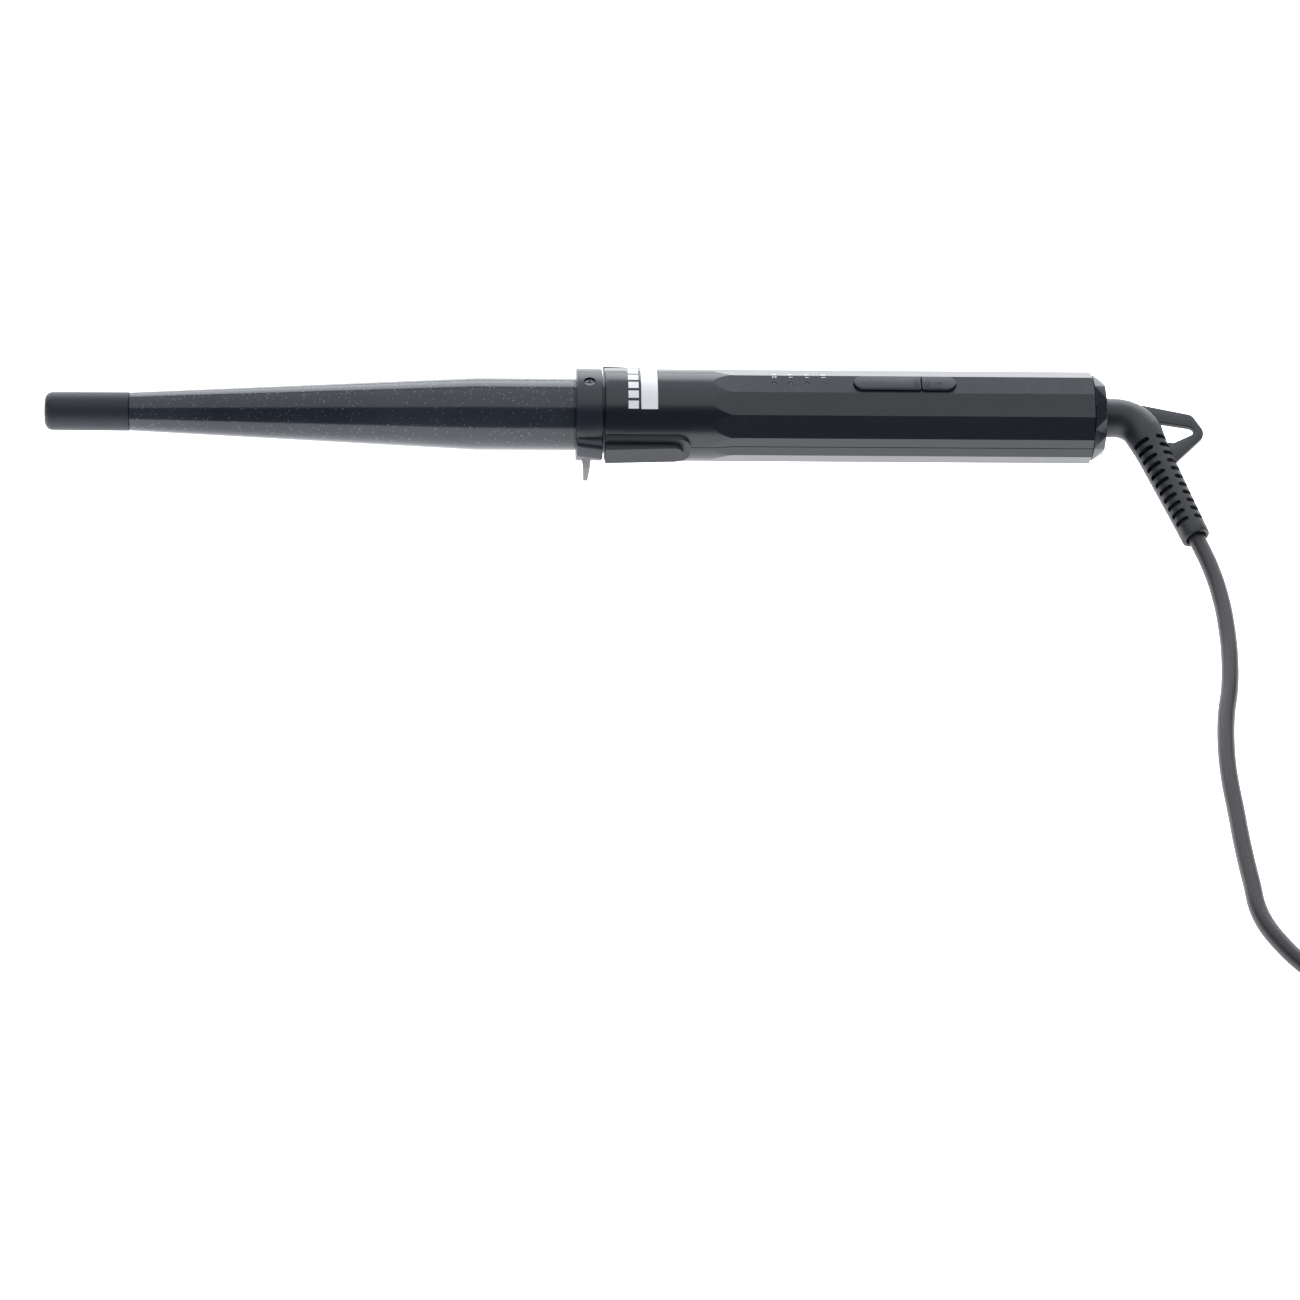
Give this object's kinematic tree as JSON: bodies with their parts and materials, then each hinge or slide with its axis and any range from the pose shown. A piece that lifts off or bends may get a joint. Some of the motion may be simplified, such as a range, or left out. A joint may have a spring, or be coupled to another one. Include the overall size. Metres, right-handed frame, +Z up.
{
  "type": "curling wand",
  "caption": "Conical hair curling wand with a twelve-sided handle, keys, lamps, a fold-out table stand, a swivel cord guard with a hanging loop, and a coiled cord with a plug.",
  "frame": {"origin": "on the table, under the middle of the wand's own length from tip to hanging loop", "axes": "+X from the tip towards the cord end, +Z up, through the face with the keys; the wand leans back by 2 degrees on its stand"},
  "size_m": [0.5087, 0.3257, 0.0375],
  "materials": {
    "tip_plastic": "fine matt",
    "barrel_coating": "satin coating with a fine sparkle",
    "ceramic": "unglazed ceramic",
    "resistance_wire": "oxidised wire",
    "mica": "layered mica",
    "steel": "plain",
    "bead_glass": "glassy",
    "wire_insulation": "silicone",
    "collar_plastic": "fine matt",
    "screw_steel": "blackened",
    "stand_steel": "satin",
    "pad_rubber": "matt",
    "shell_plastic": "semi-gloss",
    "board": "solder mask",
    "part_plastic": "moulded",
    "lamp_lens": "dark tinted lens",
    "key_plastic": "fine matt",
    "bearing_plastic": "natural",
    "brass": "plain",
    "cap_plastic": "semi-gloss",
    "guard_rubber": "matt",
    "cord_rubber": "smooth",
    "tie_fabric": "woven",
    "plug_plastic": "fine matt",
    "pin_metal": "nickel plated"
  },
  "bodies": {
    "wand": {"tip_cap": "tip_plastic", "barrel": "barrel_coating", "heater_core": "ceramic", "heater_winding": "resistance_wire", "mica_sleeve": "mica", "core_rod": "steel", "core_nut": "steel", "thermistor": "bead_glass", "thermal_fuse": "steel", "heater_wires": "wire_insulation", "collar": "collar_plastic", "collar_screws": "screw_steel", "stand_pins": "steel", "grip_pad_near": "pad_rubber", "grip_pad_far": "pad_rubber", "handle_upper": "shell_plastic", "handle_lower": "shell_plastic", "handle_screws": "screw_steel", "circuit_board": "board", "board_parts": "part_plastic", "indicator_lamps": "lamp_lens", "tact_switches": "part_plastic", "mains_wires": "wire_insulation", "slip_base": "bearing_plastic", "slip_brushes": "brass", "end_cap": "cap_plastic"},
    "stand": {"stand": "stand_steel"},
    "power_key": {"power_key": "key_plastic"},
    "heat_key": {"heat_key": "key_plastic"},
    "swivel": {"swivel_core": "bearing_plastic", "slip_rings": "brass", "cord_guard": "guard_rubber", "hanging_loop": "guard_rubber", "cord": "cord_rubber", "cord_tail": "cord_rubber", "cord_coil": "cord_rubber", "cord_tie": "tie_fabric", "plug_body": "plug_plastic", "plug_pins": "pin_metal"}
  },
  "joints": [
    {"name": "stand_fold", "type": "hinge", "parent": "wand", "child": "stand", "pos_m": [-0.0149, 0, 0.02155], "axis": [0, 1, 0], "range_deg": [0, 48]},
    {"name": "power_key_press", "type": "slide", "parent": "wand", "child": "power_key", "axis": [-0.0365, 0, -0.9993], "range_m": [0, 0.0005], "stiffness_N_per_m": 400, "springref_m": -0.0003},
    {"name": "heat_key_press", "type": "slide", "parent": "wand", "child": "heat_key", "axis": [-0.0365, 0, -0.9993], "range_m": [0, 0.0005], "stiffness_N_per_m": 400, "springref_m": -0.0003},
    {"name": "cord_swivel", "type": "hinge", "parent": "wand", "child": "swivel", "pos_m": [0.16188, 0, 0.0151], "axis": [0.9993, 0, -0.0365], "continuous": true}
  ]
}
